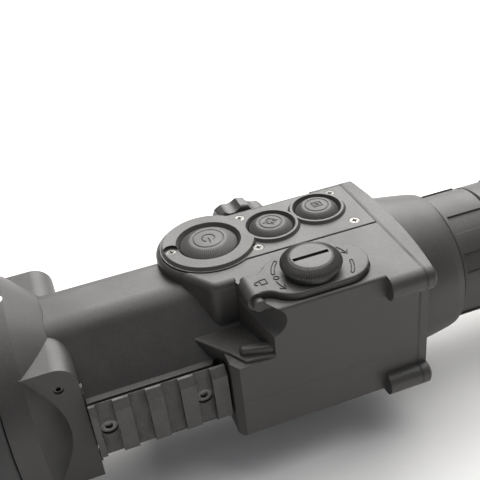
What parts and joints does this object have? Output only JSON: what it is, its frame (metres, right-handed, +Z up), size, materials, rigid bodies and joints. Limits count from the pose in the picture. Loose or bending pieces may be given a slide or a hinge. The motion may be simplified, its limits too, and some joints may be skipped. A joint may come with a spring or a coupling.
{
  "type": "electronic riflescope",
  "caption": "Battery-powered electronic sighting scope: objective with focus ring and flip cap, keypad and battery bay on a boxy body, side accessory rail and eyepiece with rubber cup.",
  "frame": {"origin": "middle of the three threaded holes, on the mounting face under the body", "axes": "+X along the optical axis towards the eye, +Y to the shooter's right, +Z up away from the mounting face"},
  "size_m": [0.2852, 0.0764, 0.0804],
  "materials": {
    "housing_plastic": "fine moulded texture, charcoal",
    "plate_plastic": "fine moulded texture, charcoal",
    "button_rubber": "ribbed soft-touch rubber",
    "knob_plastic": "satin, ribbed",
    "grip_rubber": "matt",
    "seal_rubber": "matt",
    "steel": "turned and plated",
    "black_steel": "black oxide",
    "anodised_aluminium": "black anodised, satin",
    "contact_brass": "plated",
    "battery_wrap": "shrink-wrapped, plain",
    "inner_plastic": "moulded",
    "circuit_board": "solder mask",
    "sensor_glass": "polished",
    "coated_glass": "coated"
  },
  "bodies": {
    "scope": {"main_housing": "housing_plastic", "bottom_cover": "housing_plastic", "rear_cover": "housing_plastic", "objective_housing": "housing_plastic", "front_bezel": "housing_plastic", "eyepiece_barrel": "housing_plastic", "control_plate": "plate_plastic", "keypad_membrane": "button_rubber", "eyecup": "grip_rubber", "rear_gasket": "seal_rubber", "bottom_cover_screws": "steel", "rear_cover_screws": "steel", "control_plate_screws": "steel", "main_board_screws": "steel", "mounting_base_screws": "steel", "lid_hinge_pin": "steel", "cap_hinge_pin": "steel", "data_socket": "steel", "accessory_rail_screws": "black_steel", "objective_flange_screws": "black_steel", "flange_grub_screws": "black_steel", "accessory_rail": "anodised_aluminium", "mounting_base": "anodised_aluminium", "objective_barrel": "anodised_aluminium", "eyepiece_tube": "anodised_aluminium", "sensor_carrier": "anodised_aluminium", "battery_contacts": "contact_brass", "battery_cells": "battery_wrap", "battery_holder": "inner_plastic", "display_carrier": "inner_plastic", "wheel_encoder": "inner_plastic", "main_board": "circuit_board", "sensor_board": "circuit_board", "image_sensor": "sensor_glass", "display_panel": "sensor_glass"},
    "lid": {"battery_lid": "housing_plastic", "lid_seal": "seal_rubber"},
    "lid_lock": {"lid_knob": "knob_plastic", "lid_latch": "steel"},
    "power_key": {"power_button": "button_rubber"},
    "calibrate_key": {"calibrate_button": "button_rubber"},
    "menu_key": {"menu_button": "button_rubber"},
    "wheel": {"control_wheel": "knob_plastic"},
    "socket_flap": {"socket_cover": "grip_rubber"},
    "focus_collar": {"focus_ring": "grip_rubber"},
    "objective_cell": {"objective_lens_cell": "anodised_aluminium", "objective_front_lens": "coated_glass", "objective_rear_lens": "coated_glass", "objective_lens_spacer": "anodised_aluminium", "objective_lens_retainer": "anodised_aluminium"},
    "diopter_collar": {"diopter_ring": "housing_plastic"},
    "eyepiece_cell": {"eyepiece_lens_cell": "anodised_aluminium", "eyepiece_front_lens": "coated_glass", "eyepiece_rear_lens": "coated_glass", "eyepiece_lens_spacer": "anodised_aluminium", "eyepiece_lens_retainer": "anodised_aluminium"},
    "cap": {"lens_cap": "grip_rubber"}
  },
  "joints": [
    {"name": "lid_hinge", "type": "hinge", "parent": "scope", "child": "lid", "pos_m": [-0.0053, -0.0255, 0.0589], "axis": [0, -1, 0], "range_deg": [0, 105]},
    {"name": "lid_lock_turn", "type": "hinge", "parent": "lid", "child": "lid_lock", "pos_m": [0.0138, -0.0256, 0.062], "axis": [0, 0, 1], "range_deg": [0, 90]},
    {"name": "power_press", "type": "slide", "parent": "scope", "child": "power_key", "axis": [0, 0, -1], "range_m": [0, 0.001], "stiffness_N_per_m": 300},
    {"name": "calibrate_press", "type": "slide", "parent": "scope", "child": "calibrate_key", "axis": [0, 0, -1], "range_m": [0, 0.001], "stiffness_N_per_m": 300},
    {"name": "menu_press", "type": "slide", "parent": "scope", "child": "menu_key", "axis": [0, 0, -1], "range_m": [0, 0.001], "stiffness_N_per_m": 300},
    {"name": "wheel_turn", "type": "hinge", "parent": "scope", "child": "wheel", "pos_m": [0.0086, 0.03, 0.0435], "axis": [0, 1, 0], "continuous": true},
    {"name": "socket_flap_hinge", "type": "hinge", "parent": "scope", "child": "socket_flap", "pos_m": [0.0285, 0.02718, 0.03], "axis": [-1, 0, 0], "range_deg": [0, 100]},
    {"name": "focus_turn", "type": "hinge", "parent": "scope", "child": "focus_collar", "pos_m": [-0.0975, 0, 0.03], "axis": [1, 0, 0], "range_deg": [-120, 120]},
    {"name": "focus_travel", "type": "slide", "parent": "scope", "child": "objective_cell", "axis": [1, 0, 0], "range_m": [-0.002, 0.002]},
    {"name": "diopter_turn", "type": "hinge", "parent": "scope", "child": "diopter_collar", "pos_m": [0.079, 0, 0.03], "axis": [1, 0, 0], "range_deg": [-120, 120]},
    {"name": "diopter_travel", "type": "slide", "parent": "scope", "child": "eyepiece_cell", "axis": [1, 0, 0], "range_m": [-0.002, 0.002]},
    {"name": "cap_hinge", "type": "hinge", "parent": "scope", "child": "cap", "pos_m": [-0.132, 0, 0.0686], "axis": [0, 1, 0], "range_deg": [0, 165]}
  ],
  "couplings": [
    {"joint": "focus_travel", "follows": "focus_turn", "m_per_rad": 0.00095},
    {"joint": "diopter_travel", "follows": "diopter_turn", "m_per_rad": 0.00095}
  ]
}
